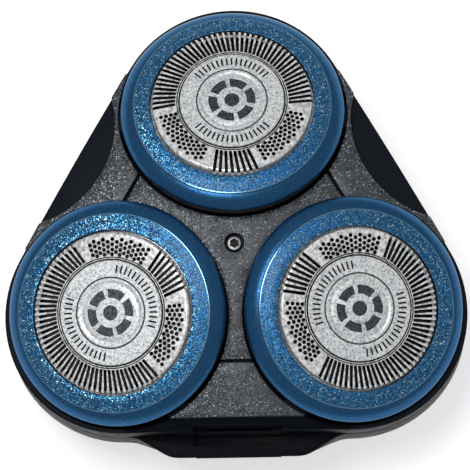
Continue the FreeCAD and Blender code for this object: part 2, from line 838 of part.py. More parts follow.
def make_base():
    shell = add("PartDesign::Body", "shell_body")
    bend = ledge - d.shell_wall
    foot = d.coupling_height
    rim = rounded_triangle(rim_reach, d.rim_radius)
    low_rim = rounded_triangle("shell_foot_reach", "shell_foot_radius")
    rim_rounds = dict.fromkeys(range(3), d.rim_radius)
    low_rounds = dict.fromkeys(range(3), d.shell_foot_radius)
    lower = outline(shell, "foot_outline", "XY_Plane", low_rim, low_rounds, foot)
    upper = outline(shell, "bend_outline", "XY_Plane", rim, rim_rounds, bend)
    loft(shell, "AdditiveLoft", lower, upper)
    pad(shell, outline(shell, "wall_outline", "XY_Plane", rim, rim_rounds, bend), base_top - bend)
    bulge_half = d.bulge_top_width / 2
    base_half = d.bulge_base_width / 2
    root_half = base_half + d.bulge_root_width
    bulge = [
        (-root_half, -(hull_side - d.bulge_root)),
        (-base_half, -hull_side),
        (-bulge_half, -bulge_front),
        (bulge_half, -bulge_front),
        (base_half, -hull_side),
        (root_half, -(hull_side - d.bulge_root)),
    ]
    bulge_rounds = dict.fromkeys((2, 3), d.bulge_round)
    bulge_plan = outline(shell, "bulge_outline", "XY_Plane", bulge, bulge_rounds, base_top - d.bulge_height)
    pad(shell, bulge_plan, d.bulge_height)
    inner_radius = d.rim_radius - d.shell_wall
    well = rounded_triangle(rim_reach, inner_radius)
    well_rounds = dict.fromkeys(range(3), inner_radius)
    well_plan = outline(shell, "well_outline", "XY_Plane", well, well_rounds, ledge)
    pocket(shell, well_plan, base_top - ledge)
    ledge_radius = inner_radius - d.ledge_width
    low_radius = d.shell_foot_radius - d.shell_wall
    gear_room = rounded_triangle(rim_reach, ledge_radius)
    gear_floor = rounded_triangle("shell_foot_reach", low_radius)
    room_low = outline(shell, "room_foot", "XY_Plane", gear_floor,
                       dict.fromkeys(range(3), low_radius), floor_top)
    room_high = outline(shell, "room_top", "XY_Plane", gear_room,
                        dict.fromkeys(range(3), ledge_radius), ledge)
    loft(shell, "SubtractiveLoft", room_low, room_high)
    post_foot = floor_top - bite
    post = spot(BETWEEN, d.post_reach)
    peg = spot(HEADS["rear"], spindle_reach)
    posts = circles(shell, "posts", [(*post, d.boss_radius)], post_foot)
    around(shell, pad(shell, posts, ledge - post_foot), 3)
    pegs = circles(shell, "pegs", [(*peg, d.post_radius)], post_foot)
    around(shell, pad(shell, pegs, gear_top + d.gear_gap - post_foot), 3)
    holes = circles(shell, "post_holes", [(*post, d.screw_radius)], floor_top)
    around(shell, pocket(shell, holes, ledge - floor_top), 3)
    shaft_hole = circles(shell, "shaft_hole", [(0, 0, d.shaft_radius + d.running_clearance)], foot)
    pocket(shell, shaft_hole, d.floor_thickness)
    knuckles = fuse("base_knuckles",
                    bar("left_knuckle", "knuckle_radius", -hinge_span, -(hinge_half + d.knuckle_gap)),
                    bar("right_knuckle", "knuckle_radius", hinge_half + d.knuckle_gap, hinge_span))
    room_half = hinge_half + d.knuckle_gap
    reach = d.knuckle_radius + d.knuckle_gap
    knuckle_room = box("knuckle_room", (-room_half, hinge_y - reach, hinge_z - reach),
                       (room_half, hull_end + reach, base_top + past))
    pin_bore = bar("pin_bore", "hinge_pin_radius", -(hinge_span + past), hinge_span + past)
    button_front = bulge_front + past
    button_back = bulge_front - d.button_depth - d.button_travel
    slot = button_block("button_room", "button_clearance", button_front, button_back)
    thumb_half = d.button_width / 2
    thumb = box("thumb_recess", (-thumb_half, -(bulge_front - d.thumb_lip), base_top - d.thumb_depth),
                (thumb_half, -hull_side, base_top + past))
    catch_half = thumb_half - d.catch_inset + d.catch_gap
    catch_front = hull_side - d.shell_wall + d.catch_reach + d.catch_gap
    catch_room = box("catch_room", (-catch_half, -catch_front, holder_foot - d.catch_drop - d.catch_gap),
                     (catch_half, -(hull_side - d.shell_wall - past), base_top + past))
    solid = fuse("shell_with_knuckles", shell, knuckles)
    cutters = fuse("shell_cuts", knuckle_room, pin_bore, slot, thumb, catch_room)
    piece("base_shell", cut("base_shell", solid, cutters))
    piece("hinge_pin", bar("hinge_pin", "hinge_pin_radius", -hinge_span, hinge_span))

    groove_foot = d.coupling_height - d.snap_groove_drop
    groove_top = groove_foot + d.snap_groove_width
    piece("coupling_neck", turned("coupling_neck", [
        (d.coupling_bore, d.coupling_height),
        (d.coupling_bore, 0),
        (d.coupling_radius, 0),
        (d.coupling_radius, groove_foot),
        (d.coupling_radius - d.snap_groove, groove_foot + d.snap_groove_slope),
        (d.coupling_radius - d.snap_groove, groove_top - d.snap_groove_slope),
        (d.coupling_radius, groove_top),
        (d.coupling_radius, d.coupling_height),
    ]))

    plate_radius = inner_radius - d.plate_clearance
    plate = prism("chamber_floor", rounded_triangle(rim_reach, plate_radius), ledge, d.plate_thickness,
                  dict.fromkeys(range(3), plate_radius))
    gaps = circles(plate, "cup_holes", [(*peg, d.cup_radius + d.seal_clearance)], ledge)
    around(plate, pocket(plate, gaps, d.plate_thickness), 3)
    screw_holes = circles(plate, "screw_holes", [(*post, d.screw_radius)], ledge)
    around(plate, pocket(plate, screw_holes, d.plate_thickness), 3)
    piece("chamber_floor", plate)

    shank_foot = floor_top + past
    x, y = post
    screw = fuse("floor_screw",
                 cylinder("screw_head", "screw_head_radius", plate_top, "screw_head_height", x, y),
                 cylinder("screw_shank", d.screw_radius - d.thread_clearance, shank_foot,
                          plate_top + bite - shank_foot, x, y))
    head_top = plate_top + d.screw_head_height
    head_half = d.screw_head_radius
    drive_slot = box("screw_slot", (x - head_half, y - d.screw_slot_half, head_top - d.screw_slot_depth),
                     (x + head_half, y + d.screw_slot_half, head_top + past))
    slotted = cut("slotted_screw", screw, drive_slot)
    three = add("Part::Compound", "floor_screws")
    links = []
    for turn in (0, 120, 240):
        copy = add("App::Link", f"floor_screw_{turn}")
        copy.LinkedObject = slotted
        copy.Placement = FreeCAD.Placement(Vector(), FreeCAD.Rotation(UP, turn))
        links.append(copy)
    three.Links = links
    piece("floor_screws", three)

    button = button_block("button_block", 0, bulge_front + d.button_proud, bulge_front - d.button_depth)
    piece("release_button", button)
    spring_z = base_top - d.button_drop - d.button_height / 2
    spring = add("Part::Cylinder", "button_spring")
    bind(spring, Radius=d.button_spring_radius, Height=d.button_travel)
    spring.Placement = FreeCAD.Placement(Vector(), FreeCAD.Rotation(Vector(1, 0, 0), 90))
    place(spring, 0, -button_back, spring_z)
    piece("button_spring", spring)


def make_openings():
    """The three holes under the rings: the ring's tilted cylinder, kept inside its outline in plan."""
    tools = []
    for name, angle in HEADS.items():
        tube = add("Part::Cylinder", f"opening_tube_{name}")
        bind(tube, Radius=opening_radius, Height=tall)
        low = f"create(<<vector>>; 0; 0; {(-(tall / 2)).text})"
        lowered = f"create(<<placement>>; {low}; create(<<rotation>>; 0; 0; 0))"
        tube.setExpression("Placement", f"{tilted_text(angle)} * {lowered}")
        oval = add("Part::Ellipse", f"opening_oval_{name}")
        bind(oval, MajorRadius=opening_radius,
             MinorRadius=d.ring_radius * cosine("head_tilt") + d.opening_gap)
        x, y = spot(angle, head_reach)
        oval.Placement = FreeCAD.Placement(Vector(), FreeCAD.Rotation(UP, angle + 90))
        place(oval, x, y, 0)
        column = add("Part::Extrusion", f"opening_column_{name}")
        column.Base = oval
        column.DirMode = "Custom"
        column.Dir = UP
        column.Solid = True
        bind(column, LengthFwd=tall)
        tools.append(common(f"opening_{name}", tube, column))
    return tools


def make_ears():
    """Two ears beside each opening take the pins of that head."""
    ears, bores = [], []
    inner = d.ring_inner_radius + d.lug_thickness + d.pivot_side_gap
    outer = inner + d.ear_wall
    half = d.lug_width / 2 + d.ear_clearance
    top = -(d.pivot_depth - d.ear_cover)
    foot = -(d.pivot_depth + d.ear_depth)
    wall = box("ear_wall", (-half, inner, foot), (half, outer, top))
    root_block = box("ear_foot", (-half, outer - bite, foot),
                     (half, opening_radius + d.ear_foot_width, -(d.pivot_depth + d.ear_foot_drop)))
    ear = fuse("ear", wall, root_block)
    mirrored = add("Part::Mirroring", "other_ear")
    mirrored.Source = ear
    mirrored.Normal = Vector(0, 1, 0)
    pair = fuse("ear_pair", ear, mirrored)
    length = (outer + d.bore_margin) * 2
    bore = cylinder("ear_bore", d.pivot_radius + d.pivot_clearance, 0, length)
    bore.Placement = FreeCAD.Placement(Vector(), FreeCAD.Rotation(Vector(1, 0, 0), -90))
    place(bore, 0, -(length / 2), -d.pivot_depth)
    for name, angle in HEADS.items():
        for kind, source, group in (("ear", pair, ears), ("bore", bore, bores)):
            copy = add("App::Link", f"{kind}_{name}")
            copy.LinkedObject = source
            copy.LinkTransform = kind == "bore"
            copy.setExpression("Placement", tilted_text(angle))
            group.append(copy)
    return ears, bores


def make_holder():
    openings = make_openings()
    centre = dome_top - d.dome_radius
    rim = rounded_triangle(rim_reach, d.rim_radius)
    rim_rounds = dict.fromkeys(range(3), d.rim_radius)
    block = prism("holder_block", rim, holder_foot, tall, rim_rounds)
    inner_radius = d.rim_radius - d.shell_wall
    hollow_block = prism("holder_hollow_block", rounded_triangle(rim_reach, inner_radius),
                         holder_foot - past, tall, dict.fromkeys(range(3), inner_radius))
    hollow = common("holder_hollow", hollow_block,
                    sphere("roof_ball", frame_radius - d.frame_thickness, centre))
    dome = common("holder_dome", block, sphere("frame_ball", frame_radius, centre))
    body = cut("holder_shell", dome, hollow)
    boss_foot = dome_top - d.panel_thickness - d.frame_thickness - d.centre_boss_depth
    boss = cylinder("centre_boss", "centre_boss_radius", boss_foot, "centre_boss_height")
    ears, bores = make_ears()
    open_body = cut("open_holder", body, fuse("openings", *openings))
    below_cover = fuse("below_cover", sphere("ear_ball", frame_radius, centre), *openings)
    above = cut("above_frame", block, below_cover)
    under_panels = cut("holder_ears", fuse("all_ears", *ears), above)
    knuckle = bar("holder_knuckle", "knuckle_radius", -hinge_half, hinge_half)
    web = box("knuckle_web", (-hinge_half, hinge_y - d.web_reach, hinge_z + d.hinge_pin_radius / 2),
              (hinge_half, hinge_y + d.web_reach / 2, holder_foot + d.web_rise))
    catch_half = d.button_width / 2 - d.catch_inset
    catch_back = hull_side - d.shell_wall
    catch = box("catch", (-catch_half, -(catch_back + d.catch_reach), holder_foot - d.catch_drop),
                (catch_half, -catch_back, holder_foot + d.catch_rise))
    solid = fuse("holder_solid", open_body, boss, under_panels, knuckle, web, catch)
    pin_hole = bar("holder_pin_hole", d.hinge_pin_radius + d.running_clearance, -hinge_span, hinge_span)
    shank_foot = boss_foot + d.centre_shank_start
    screw_hole = cylinder("screw_hole", "centre_shank_radius", shank_foot, tall)
    notch_half = d.button_width / 2
    notch = box("front_notch", (-notch_half, -(hull_side + past), holder_foot - past),
                (notch_half, -(hull_side - d.front_notch), dome_top))
    holes = fuse("holder_holes", pin_hole, screw_hole, notch, *bores)
    piece("holder_frame", cut("holder_frame", solid, holes))

    skin = cut("cover_dome", common("cover_block", block, sphere("cover_ball", "dome_radius", centre)),
               sphere("cover_under", frame_radius, centre))
    cover = cut("cover", skin, fuse("cover_openings", *openings))
    # The middle panel ends at three seams, each square to the direction between two heads.
    middle = prism("centre_field", [spot(angle, d.seam_reach * 2) for angle in HEADS.values()], 0, tall)
    hole = cylinder("panel_hole", "centre_hole_radius", 0, tall)
    piece("centre_panel", cut("centre_panel", common("centre_piece", cover, middle), hole))
    start = d.seam_reach + d.seam_width
    half = d.panel_half_width
    for name, turn in (("front", 240), ("left", 120), ("right", 0)):
        angle = BETWEEN + turn
        far = d.front_edge_reach if name == "front" else hull_side
        corners = []
        for reach, across in ((start, -half), (far, -half), (far, half), (start, half)):
            corners.append(spot(angle, reach, across))
        strip = common(f"{name}_strip", cover, prism(f"{name}_field", corners, 0, tall))
        if name == "front":
            piece("front_panel", strip)
            continue
        x, y = spot(angle, d.side_edge_reach + d.side_edge_radius)
        scoop = cylinder(f"{name}_scoop", "side_edge_radius", 0, tall, x, y)
        piece(f"{name}_panel", cut(f"{name}_panel", strip, scoop))

    head_top = dome_top - d.centre_screw_depth
    head_foot = dome_top - d.panel_thickness
    screw = fuse("screw_body",
                 cylinder("centre_screw_head", "centre_screw_radius", head_foot, head_top - head_foot),
                 cylinder("centre_screw_shank", d.centre_shank_radius - d.thread_clearance, shank_foot,
                          head_foot + bite - shank_foot))
    socket = hexagon("screw_socket", "centre_socket_radius", head_foot + bite, tall)
    piece("centre_screw", cut("centre_screw", screw, socket))


def write_pieces():
    doc.recompute()
    for thing in doc.Objects:
        if "Invalid" in thing.State or "Error" in thing.State:
            raise RuntimeError(f"{thing.Label} failed: {thing.State}")
    os.makedirs("parts", exist_ok=True)
    for label, thing in pieces.items():
        shape = Part.getShape(thing)
        if shape.isNull() or not shape.isValid() or not shape.Solids:
            raise RuntimeError(f"{label} has no sound shape")
        shape.exportStep(f"parts/{label}.step")
        print(label, len(shape.Solids), round(shape.Volume, 2))


make_skin_ring()
make_guard()
make_cutter()
make_retaining_ring()
make_drive()
make_base()
make_holder()
write_pieces()
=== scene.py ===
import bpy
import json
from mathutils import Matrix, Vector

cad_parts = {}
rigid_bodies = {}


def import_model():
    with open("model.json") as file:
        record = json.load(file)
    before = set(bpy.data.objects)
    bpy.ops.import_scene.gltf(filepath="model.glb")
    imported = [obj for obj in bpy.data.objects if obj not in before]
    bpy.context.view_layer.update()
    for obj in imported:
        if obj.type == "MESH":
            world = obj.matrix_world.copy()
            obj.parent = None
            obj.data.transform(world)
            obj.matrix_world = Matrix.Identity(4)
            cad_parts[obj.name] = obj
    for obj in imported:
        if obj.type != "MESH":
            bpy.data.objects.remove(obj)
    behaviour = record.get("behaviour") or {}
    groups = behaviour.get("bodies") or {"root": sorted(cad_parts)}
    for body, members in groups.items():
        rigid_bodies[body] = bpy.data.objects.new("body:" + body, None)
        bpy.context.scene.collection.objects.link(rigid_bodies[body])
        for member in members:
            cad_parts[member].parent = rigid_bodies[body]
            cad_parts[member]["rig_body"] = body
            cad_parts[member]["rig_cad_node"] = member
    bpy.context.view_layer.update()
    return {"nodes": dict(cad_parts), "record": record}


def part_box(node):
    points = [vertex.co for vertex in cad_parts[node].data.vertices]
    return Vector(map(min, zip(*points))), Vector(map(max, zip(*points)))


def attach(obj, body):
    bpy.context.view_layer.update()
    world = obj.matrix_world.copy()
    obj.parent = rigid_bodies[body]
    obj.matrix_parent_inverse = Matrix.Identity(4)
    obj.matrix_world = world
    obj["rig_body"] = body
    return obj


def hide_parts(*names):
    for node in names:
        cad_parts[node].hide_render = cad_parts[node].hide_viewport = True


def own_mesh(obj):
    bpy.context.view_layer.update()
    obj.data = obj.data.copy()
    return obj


bl_info = {
    "name": "Rotary Shaver Head",
    "version": (1, 0, 0),
    "blender": (4, 5, 0),
    "location": "3D View > Sidebar > Shaver Head",
    "description": "Builds the rings, guards, panels and housing of a three-headed rotary shaver head",
    "category": "Object",
}

import json
import math

import bpy
from bpy.props import FloatProperty, FloatVectorProperty, IntProperty, PointerProperty
from mathutils import Euler, Matrix, Vector

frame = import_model()
NODES = frame["nodes"]

MM = 0.001
CENTRE = (0, 0, 0)

# How many points a turned piece has round its axis.
STEPS = 192

# The lengths that follow are in millimetres and the angles in degrees.

# Where the heads sit. Each head is modelled about its own axis, with z = 0 at its ring's outer
# edge and +X outwards, and is then moved to its place.
HEADS = {"rear": 90, "left": 210, "right": 330}
HEAD_REACH = 18.6029
HEAD_HEIGHT = 27.045
HEAD_TILT = 16

# A ring's sloping face: its inner edge, and how far it falls for each millimetre outwards.
RING_INNER = 11.28
RING_TOP = 1.635
RING_FALL = 0.294

# A guard's openings: the long run of slots on its outer side, the short run on its inner side, and
# the two fields of holes between them, in columns of four and of three by turns. A slot's outer end
# is swung aside as far as the slot's run leans.
LONG_RUN = 186
SHORT_RUN = 31
SHORT_COUNT = 8
SLOT_IN = 7.66
SLOT_OUT = 11.2
SLOT_RUN = 3.6
SLOT_LEAN = 7.5
HOLE_MIDDLES = (128.75, -128.75)
HOLE_FIELD = 50
HOLE_COLUMNS = 14
HOLE_RADIUS = 0.285
LONG_COLUMN = (9.89, 9.19, 8.49, 7.85)
SHORT_COLUMN = (9.54, 8.84, 8.16)

# The middle disc's engraving: two arcs of ticks, and six segments about a dot.
TICK_STARTS = (-50, 130)
TICK_ARC = 100
TICK_IN = 5.4
TICK_OUT = 6.5
SEGMENTS = 6
SEGMENT_GAP = 6

# The spindles' coil springs: the radius of the wire, and how often it goes round.
COIL_WIRE = 0.15
COIL_TURNS = 5

# The front middle of the shell gets painted shade, in the button's darker colour: in front of one depth
# on the holder and of another on the base, and up to this reach on both sides of the middle.
HOLDER_FRONT = -23.3
BASE_FRONT = -24.6
FRONT_REACH = 15.3

# The bulge of the base: where its roots stand, and the fillet they get.
BULGE_SIDE = 14
BULGE_ROOT = -24.9
BULGE_FILLET = 1.1

# The lean of the bulge: the depth it is drawn back to, the height of its top, and the share of its
# depth that it loses for each millimetre below that. The button leans alike, in front of its own depth.
BULGE_WALL = -24.95
BULGE_TOP = 18.2
BULGE_DRAFT = 0.068
BUTTON_FRONT = -27.5


def head_place(name):
    """The move from a head's own frame to its place on the shaver."""
    turn = Matrix.Rotation(math.radians(HEADS[name]), 4, "Z")
    lean = Matrix.Rotation(math.radians(HEAD_TILT), 4, "Y")
    return turn @ Matrix.Translation((HEAD_REACH * MM, 0, HEAD_HEIGHT * MM)) @ lean


class RingSizes(bpy.types.PropertyGroup):
    """Sizes of the coloured rings around the guards."""

    crest_radius: FloatProperty(
        name="Crest radius", description="Radius of the thin lip between the sloping face and the side",
        default=0.0134, unit="LENGTH")
    crest_step: FloatProperty(
        name="Crest step", description="How far the side lies below the lip", default=0.00009,
        unit="LENGTH")


class GuardSizes(bpy.types.PropertyGroup):
    """Sizes of the slotted guards."""

    slot_width: FloatProperty(
        name="Slot width", description="Width of each slot", default=0.00044, unit="LENGTH")
    slot_count: IntProperty(
        name="Slots", description="Number of slots in the long run", default=46)
    tick_count: IntProperty(
        name="Ticks", description="Number of engraved ticks in each of the disc's two arcs", default=17)


class Finishes(bpy.types.PropertyGroup):
    """Colours a user would change."""

    ring_side: FloatVectorProperty(
        name="Ring side", description="Paint of the rings' outer side", subtype="COLOR",
        default=(0.019, 0.092, 0.215))
    ring_flake: FloatVectorProperty(
        name="Ring flake", description="Brightest flakes of the rings' sloping face", subtype="COLOR",
        default=(0.80, 0.92, 0.96))
    panel: FloatVectorProperty(
        name="Cover panels", description="Plastic of the cover panels", subtype="COLOR",
        default=(0.062, 0.070, 0.085))
    housing: FloatVectorProperty(
        name="Housing", description="Plastic of the holder and the base", subtype="COLOR",
        default=(0.008, 0.011, 0.016))


class StageSizes(bpy.types.PropertyGroup):
    """The camera and the lamps."""

    elevation: FloatProperty(
        name="Camera elevation", description="Angle of the camera above the floor",
        default=math.radians(79.24), subtype="ANGLE")
    azimuth: FloatProperty(
        name="Camera azimuth", description="Angle of the camera round the object",
        default=math.radians(5.1), subtype="ANGLE")
    roll: FloatProperty(
        name="Camera roll", description="Turn of the camera about its own axis",
        default=math.radians(-6.05), subtype="ANGLE")
    distance: FloatProperty(
        name="Camera distance", description="Distance from the camera to the heads", default=0.5484,
        unit="LENGTH")
    lens: FloatProperty(
        name="Lens", description="Focal length for a 36 mm wide picture", default=311.5)
    key_power: FloatProperty(
        name="Key lamp", description="Power of the key lamp in watts", default=0.88)
    world_level: FloatProperty(
        name="Surround", description="Brightness of the surround", default=0.45)


def only(piece):
    """Select one piece alone and make it active."""
    bpy.ops.object.select_all(action="DESELECT")
    piece.select_set(True)
    bpy.context.view_layer.objects.active = piece


def edit(piece):
    """Select one piece alone and open it in edit mode."""
    only(piece)
    bpy.ops.object.mode_set(mode="EDIT")


def settle(piece, place=None):
    """Put a piece in its place and leave its object at the origin."""
    only(piece)
    if place is not None:
        piece.matrix_world = place @ piece.matrix_world
    bpy.ops.object.transform_apply(location=True, rotation=True, scale=True)


def duplicate(piece, name):
    """A copy with a mesh of its own."""
    only(piece)
    bpy.ops.object.duplicate()
    copy = bpy.context.object
    copy.name = name
    copy.data.name = name
    return copy


def turned(name, section, steps=STEPS, hollow=False):
    """Turn a half section in millimetres about Z. A hollow one closes on itself."""
    bpy.ops.object.select_all(action="DESELECT")
    radius, height = section[0]
    fill = "NOTHING" if hollow else "TRIFAN"
    bpy.ops.mesh.primitive_circle_add(
        vertices=steps, radius=radius * MM, fill_type=fill, location=(0, 0, height * MM))
    piece = bpy.context.object
    piece.name = name
    settle(piece)
    bpy.ops.object.mode_set(mode="EDIT")
    bpy.ops.mesh.select_all(action="SELECT")
    rings = list(section) + ([section[0]] if hollow else [])
    for (near, low), (far, high) in zip(rings, rings[1:]):
        bpy.ops.mesh.extrude_region_move(TRANSFORM_OT_translate={"value": (0, 0, (high - low) * MM)})
        bpy.ops.transform.resize(value=(far / near, far / near, 1), center_override=CENTRE)
    bpy.ops.mesh.select_all(action="SELECT")
    bpy.ops.mesh.remove_doubles(threshold=1e-7)
    bpy.ops.mesh.normals_make_consistent(inside=False)
    bpy.ops.object.mode_set(mode="OBJECT")
    return piece


def swept(name, low, high, start, end, steps):
    """A rectangle of a half section, in millimetres, carried about Z between two angles in degrees."""
    bpy.ops.object.select_all(action="DESELECT")
    middle = ((low[0] + high[0]) / 2 * MM, 0, (low[1] + high[1]) / 2 * MM)
    bpy.ops.mesh.primitive_plane_add(
        size=1, location=middle, rotation=(math.pi / 2, 0, 0))
    piece = bpy.context.object
    piece.name = name
    piece.scale = ((high[0] - low[0]) * MM, (high[1] - low[1]) * MM, 1)
    settle(piece)
    settle(piece, Matrix.Rotation(math.radians(start), 4, "Z"))
    bpy.ops.object.mode_set(mode="EDIT")
    bpy.ops.mesh.select_all(action="SELECT")
    bpy.ops.mesh.spin(steps=steps, angle=math.radians(end - start), center=CENTRE, axis=(0, 0, 1))
    bpy.ops.mesh.select_all(action="SELECT")
    bpy.ops.mesh.remove_doubles(threshold=1e-7)
    bpy.ops.mesh.normals_make_consistent(inside=False)
    bpy.ops.object.mode_set(mode="OBJECT")
    return piece


def arc(centre, radius, start, end, count=6):
    """Points of a half section along an arc, angles in degrees."""
    points = []
    for number in range(count + 1):
        angle = math.radians(start + (end - start) * number / count)
        points.append((centre[0] + radius * math.cos(angle), centre[1] + radius * math.sin(angle)))
    return points


def block(name, low, high, bevel=0.0):
    """A block between two corners in millimetres, with its edges rounded where a bevel is given."""
    bpy.ops.object.select_all(action="DESELECT")
    middle = [(a + b) / 2 * MM for a, b in zip(low, high)]
    span = [(b - a) * MM for a, b in zip(low, high)]
    bpy.ops.mesh.primitive_cube_add(size=1, location=middle, scale=span)
    piece = bpy.context.object
    piece.name = name
    settle(piece)
    if bevel:
        bpy.ops.object.mode_set(mode="EDIT")
        bpy.ops.mesh.select_all(action="SELECT")
        bpy.ops.mesh.bevel(offset=bevel * MM, segments=2, affect="EDGES")
        bpy.ops.object.mode_set(mode="OBJECT")
    return piece


def peg(name, radius, low, high, steps=48, bevel=0.0):
    """An upright round peg in millimetres, with its ends bevelled where a bevel is given."""
    if not bevel:
        return turned(name, [(radius, low), (radius, high)], steps)
    foot = [(radius - bevel, low), (radius, low + bevel)]
    head = [(radius, high - bevel), (radius - bevel, high)]
    return turned(name, foot + head, steps)


def join(pieces, name):
    """Make one piece of several."""
    bpy.ops.object.select_all(action="DESELECT")
    for piece in pieces:
        piece.select_set(True)
    bpy.context.view_layer.objects.active = pieces[0]
    bpy.ops.object.join()
    joined = bpy.context.object
    joined.name = name
    return joined


def combine(piece, tool, operation="DIFFERENCE"):
    """Cut a tool from a piece, or weld it on, and remove the tool."""
    only(piece)
    bpy.ops.object.modifier_add(type="BOOLEAN")
    step = piece.modifiers[-1]
    step.operation = operation
    step.solver = "EXACT"
    step.object = tool
    bpy.ops.object.modifier_apply(modifier=step.name)
    bpy.data.objects.remove(tool)


def clear_slivers(piece):
    """Merge the points and drop the thin faces that a cut leaves behind."""
    edit(piece)
    bpy.ops.mesh.select_all(action="SELECT")
    bpy.ops.mesh.remove_doubles(threshold=1e-6)
    bpy.ops.mesh.select_all(action="SELECT")
    bpy.ops.mesh.dissolve_degenerate(threshold=1e-6)
    bpy.ops.object.mode_set(mode="OBJECT")


def rounded_edges(piece, width, segments=2):
    """Round every edge sharper than 30 degrees, by the width in millimetres."""
    only(piece)
    bpy.ops.object.modifier_add(type="BEVEL")
    step = piece.modifiers[-1]
    step.width = width * MM
    step.segments = segments
    step.limit_method = "ANGLE"
    step.angle_limit = math.radians(30)
    bpy.ops.object.modifier_apply(modifier=step.name)


def smooth(piece, angle=30):
    """Shade a piece smooth, but for edges sharper than the angle."""
    only(piece)
    bpy.ops.object.shade_smooth_by_angle(angle=math.radians(angle))


def around(piece, count, span, start):
    """Copies of a piece about Z, the first at the start angle, joined into one."""
    copies = []
    for number in range(count):
        copy = duplicate(piece, piece.name)
        angle = math.radians(start + span * number / max(count - 1, 1))
        settle(copy, Matrix.Rotation(angle, 4, "Z"))
        copies.append(copy)
    bpy.data.objects.remove(piece)
    return join(copies, "cutters")


def cad_copy(node, name):
    """A merged copy of a CAD node to be finished further."""
    only(NODES[node])
    bpy.ops.object.duplicate()
    copy = bpy.context.object
    copy.name = name
    copy.data.name = name
    copy.parent = None
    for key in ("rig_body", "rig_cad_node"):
        if key in copy:
            del copy[key]
    copy.data.materials.clear()
    bpy.ops.object.mode_set(mode="EDIT")
    bpy.ops.mesh.select_all(action="SELECT")
    bpy.ops.mesh.remove_doubles(threshold=2e-6)
    bpy.ops.mesh.dissolve_limited(angle_limit=math.radians(0.4))
    bpy.ops.object.mode_set(mode="OBJECT")
    return copy


def dress(piece, *names):
    """Give a piece its finishes, by name."""
    piece.data.materials.clear()
    for name in names:
        piece.data.materials.append(FINISHES[name])


def mark(piece, index, chosen):
    """Give a material slot to the faces that chosen picks by centre and normal, in millimetres."""
    for face in piece.data.polygons:
        if chosen(Vector(face.center) / MM, face.normal):
            face.material_index = index


def stand_in(piece, body, slot, *nodes):
    """Let a piece ride on a body in the place of CAD nodes."""
    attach(piece, body)
    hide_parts(*nodes)


class Finish:
    """A material in the making: its node tree, its shader, and a point in millimetres."""

    def __init__(self, name, colour, metallic=0.0, roughness=0.5, **sockets):
        self.material = bpy.data.materials.new(name)
        self.material.use_nodes = True
        self.tree = self.material.node_tree
        self.shader = self.tree.nodes["Principled BSDF"]
        self.set(self.shader, Base_Color=(*colour, 1), Metallic=metallic, Roughness=roughness, **sockets)
        coordinates = self.add("TexCoord")
        self.point = self.add("Mapping", Vector=coordinates.outputs["Object"], Scale=(1000, 1000, 1000))

    def feed(self, socket, value):
        """Link a node or an output to an input, or give the input a plain value."""
        if isinstance(value, bpy.types.Node):
            value = value.outputs[0]
        if isinstance(value, bpy.types.NodeSocket):
            self.tree.links.new(value, socket)
        else:
            socket.default_value = value

    def set(self, node, **sockets):
        """Feed a node's inputs by name, with _ for each space."""
        for name, value in sockets.items():
            self.feed(node.inputs[name.replace("_", " ")], value)

    def add(self, kind, **sockets):
        """Add a node and feed its inputs."""
        node = self.tree.nodes.new("ShaderNode" + kind)
        self.set(node, **sockets)
        return node

    def noise(self, size, detail=3.0, rough=0.5):
        """Noise with features of about the size in millimetres."""
        return self.add("TexNoise", Vector=self.point, Scale=1 / size, Detail=detail, Roughness=rough)

    def cells(self, size):
        """Random cells of about the size in millimetres."""
        return self.add("TexVoronoi", Vector=self.point, Scale=1 / size)

    def paint(self, value, *stops):
        """Colour the surface by a ramp of (position, colour) stops."""
        node = self.add("ValToRGB", Fac=value)
        elements = node.color_ramp.elements
        while len(elements) < len(stops):
            elements.new(0.5)
        for element, (position, colour) in zip(elements, stops):
            element.position = position
            element.color = (*colour, 1)
        self.set(self.shader, Base_Color=node)

    def vary_roughness(self, size, low, high):
        """Let the roughness drift between two values, in patches of the size."""
        drift = self.add(
            "MapRange", Value=self.noise(size), From_Min=0.3, From_Max=0.7, To_Min=low, To_Max=high)
        self.set(self.shader, Roughness=drift)

    def grain(self, size, depth, detail=3.0):
        """A fine bump of the size and depth in millimetres."""
        height = self.noise(size, detail)
        self.set(self.shader, Normal=self.add("Bump", Height=height, Distance=depth * MM, Strength=1.0))

    def flake_normal(self, cells, lean):
        """Tilt each cell's normal by a random amount, as metal flakes in paint lie."""
        geometry = self.add("NewGeometry")
        shifted = self.vector("SUBTRACT", cells.outputs["Color"], (0.5, 0.5, 0.5))
        scaled = self.vector("SCALE", shifted)
        scaled.inputs["Scale"].default_value = lean
        tilted = self.vector("ADD", geometry.outputs["Normal"], scaled)
        self.set(self.shader, Normal=self.vector("NORMALIZE", tilted))

    def vector(self, operation, *values):
        """A vector operation on one or two values."""
        node = self.add("VectorMath")
        node.operation = operation
        for socket, value in zip(node.inputs, values):
            self.feed(socket, value)
        return node

    def one(self, cells):
        """One random number for each cell."""
        return self.add("SeparateColor", Color=cells.outputs["Color"]).outputs[0]


def dull(colour, share):
    """The colour at a share of its brightness."""
    return tuple(channel * share for channel in colour)


